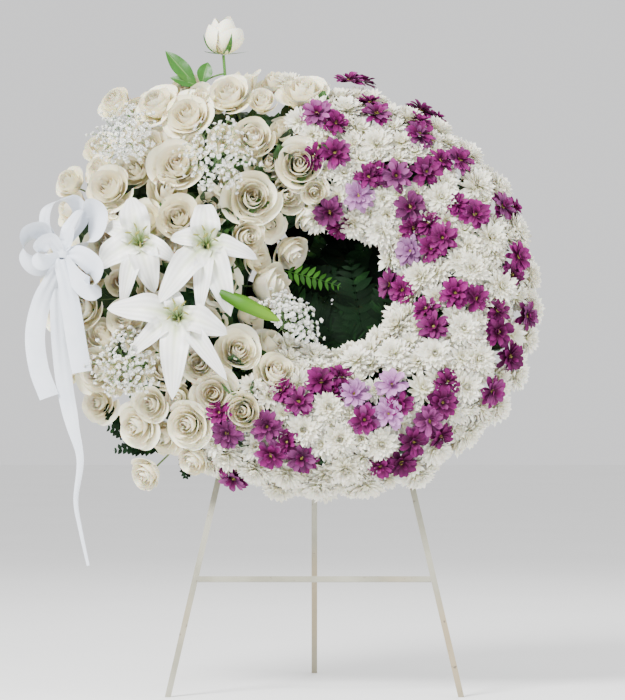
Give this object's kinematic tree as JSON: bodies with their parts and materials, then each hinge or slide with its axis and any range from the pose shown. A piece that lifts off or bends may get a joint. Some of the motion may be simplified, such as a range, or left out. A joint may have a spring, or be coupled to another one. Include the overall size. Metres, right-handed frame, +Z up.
{
  "type": "funeral wreath on a folding easel",
  "caption": "Ring-shaped funeral wreath of roses, chrysanthemums, daisies and lilies with a ribbon bow, leaning on a folding easel with a hinged rear leg.",
  "frame": {"origin": "on the floor, under the centre of the whole object's box", "axes": "+Z up; -Y is the front that the wreath faces; +X is the viewer's right"},
  "size_m": [0.7987, 0.5386, 1.019],
  "materials": {
    "painted_bar": "satin paint",
    "pin_steel": "dull steel",
    "foam": "matt floral foam",
    "tray": "matt",
    "white_petals": "soft petal",
    "purple_petals": "soft petal",
    "cream_petals": "soft petal",
    "lily_petals": "waxy petal",
    "bud_green": "waxy bud",
    "small_white_florets": "soft petal",
    "leaf_green": "leaf",
    "satin_ribbon": "satin"
  },
  "bodies": {
    "easel_and_wreath": {"babys_breath_lower_inner": "small_white_florets", "babys_breath_lower_left": "small_white_florets", "babys_breath_upper": "small_white_florets", "babys_breath_upper_left": "small_white_florets", "backing_leaves": "leaf_green", "crossbar_lower": "painted_bar", "crossbar_upper": "painted_bar", "daisies_bottom": "purple_petals", "daisies_lower_inner": "purple_petals", "daisies_lower_middle": "purple_petals", "daisies_lower_right": "purple_petals", "daisies_right_edge": "purple_petals", "daisies_right_inner": "purple_petals", "daisies_right_middle": "purple_petals", "daisies_right_outer": "purple_petals", "daisies_top": "purple_petals", "daisies_upper_inner": "purple_petals", "daisies_upper_middle": "purple_petals", "daisies_upper_right": "purple_petals", "fern_behind_hole_1": "leaf_green", "fern_behind_hole_2": "leaf_green", "fern_behind_hole_3": "leaf_green", "fern_lower_left": "leaf_green", "foam_ring": "foam", "front_leg_left": "painted_bar", "front_leg_right": "painted_bar", "head_plate": "painted_bar", "hinge_pin": "pin_steel", "lily_bud": "bud_green", "lily_left": "lily_petals", "lily_lower": "lily_petals", "lily_right": "lily_petals", "rest_peg_left": "painted_bar", "rest_peg_right": "painted_bar", "ribbon_bow": "satin_ribbon", "ribbon_tail_left": "satin_ribbon", "ribbon_tail_long": "satin_ribbon", "ribbon_tail_short": "satin_ribbon", "roses_inner": "cream_petals", "roses_left": "cream_petals", "roses_left_edge": "cream_petals", "roses_lower": "cream_petals", "roses_lower_inner": "cream_petals", "roses_lower_left": "cream_petals", "roses_middle": "cream_petals", "roses_top": "cream_petals", "roses_top_left": "cream_petals", "roses_upper": "cream_petals", "roses_upper_left": "cream_petals", "top_rose_stem": "leaf_green", "top_rosebud": "cream_petals", "tray": "tray", "white_mums_1": "white_petals", "white_mums_2": "white_petals", "white_mums_3": "white_petals", "white_mums_4": "white_petals", "white_mums_5": "white_petals", "white_mums_6": "white_petals", "white_mums_7": "white_petals"},
    "rear_leg": {"rear_leg": "painted_bar"}
  },
  "joints": [
    {"name": "rear_leg_fold", "type": "hinge", "parent": "easel_and_wreath", "child": "rear_leg", "pos_m": [0.0469, 0.02851, 0.88895], "axis": [1, 0, 0], "range_deg": [-26, 0]}
  ]
}
